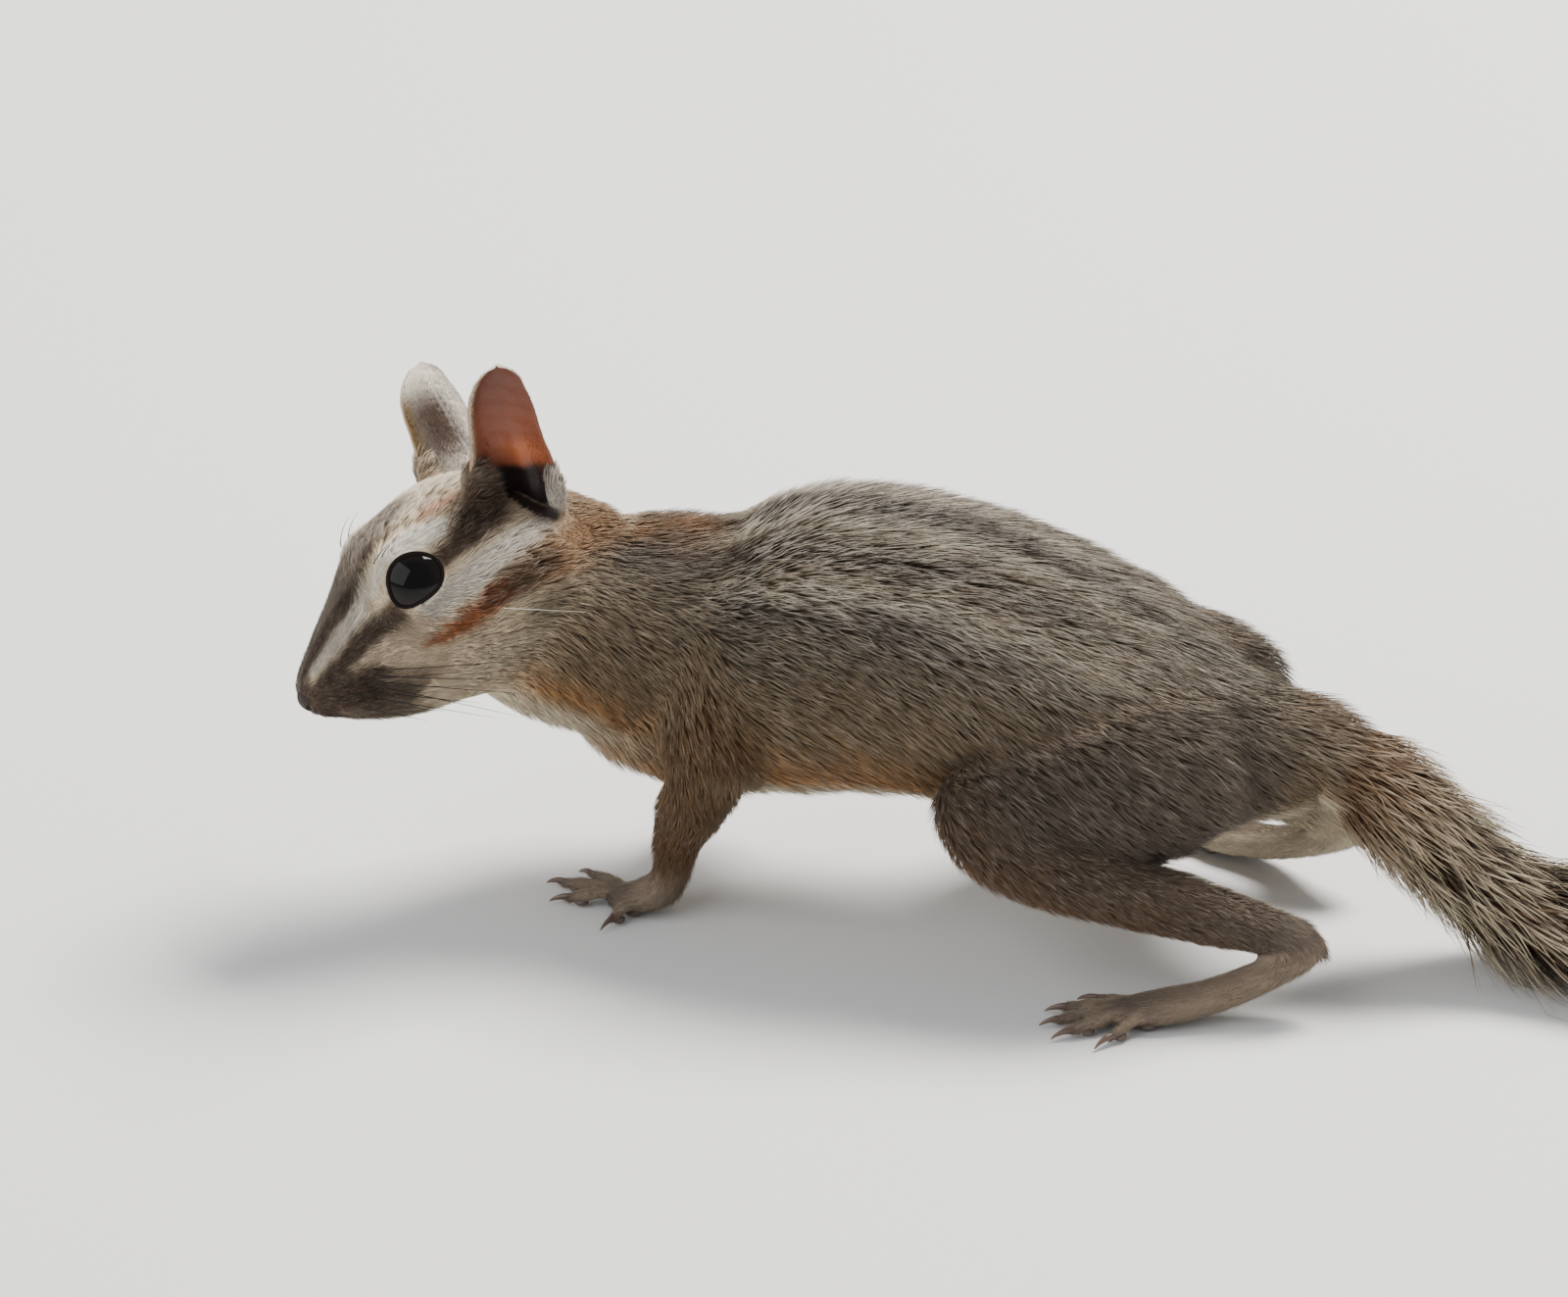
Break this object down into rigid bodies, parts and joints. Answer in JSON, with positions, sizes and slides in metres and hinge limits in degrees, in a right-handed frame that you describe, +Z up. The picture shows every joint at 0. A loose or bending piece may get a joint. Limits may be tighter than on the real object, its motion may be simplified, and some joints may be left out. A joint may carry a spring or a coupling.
{
  "type": "chipmunk",
  "caption": "Still, life-size chipmunk with its lowered head turned to its left, upright ears, a lifted right forefoot and a bushy tail lying on the floor behind it.",
  "frame": {"origin": "middle of the bounding box, on the floor under the belly", "axes": "-X towards the breast and nose, +X along the tail, -Y the animal's left side, +Z up"},
  "size_m": [0.2108, 0.0576, 0.0643],
  "materials": {
    "body_fur": "short dense agouti coat, grey brown with silvery tips and darker lengthwise stripes, cream below",
    "face_fur": "very short coat with brown and cream stripes through and around the eye",
    "leg_fur": "short tawny brown coat",
    "tail_fur": "long loose locks, grey and black banded above, rusty below, with pale tips",
    "ear_skin": "thin, nearly bare reddish brown skin, furred behind",
    "paw_skin": "sparse greyish hair over dark skin",
    "nose_skin": "bare, moist, finely pebbled dark skin",
    "eye": "wet, clear, near black",
    "claw": "smooth dark horn"
  },
  "bodies": {
    "root": {"head": "face_fur", "nose": "nose_skin", "ear_left": "ear_skin", "ear_right": "ear_skin", "eye_left": "eye", "eye_right": "eye", "torso_chest": "body_fur", "torso_loin": "body_fur", "torso_rump": "body_fur", "neck": "body_fur", "upper_arm_left": "body_fur", "forearm_left": "leg_fur", "forepaw_left": "paw_skin", "claw_fore_left_1": "claw", "claw_fore_left_2": "claw", "claw_fore_left_3": "claw", "claw_fore_left_4": "claw", "upper_arm_right": "body_fur", "forearm_right": "leg_fur", "forepaw_right": "paw_skin", "claw_fore_right_1": "claw", "claw_fore_right_2": "claw", "claw_fore_right_3": "claw", "claw_fore_right_4": "claw", "thigh_left": "body_fur", "shank_left": "leg_fur", "hind_foot_left": "paw_skin", "claw_hind_left_1": "claw", "claw_hind_left_2": "claw", "claw_hind_left_3": "claw", "claw_hind_left_4": "claw", "claw_hind_left_5": "claw", "thigh_right": "body_fur", "shank_right": "leg_fur", "hind_foot_right": "paw_skin", "claw_hind_right_1": "claw", "claw_hind_right_2": "claw", "claw_hind_right_3": "claw", "claw_hind_right_4": "claw", "claw_hind_right_5": "claw", "tail_root": "tail_fur", "tail_middle": "tail_fur", "tail_end": "tail_fur"}
  },
  "joints": []
}
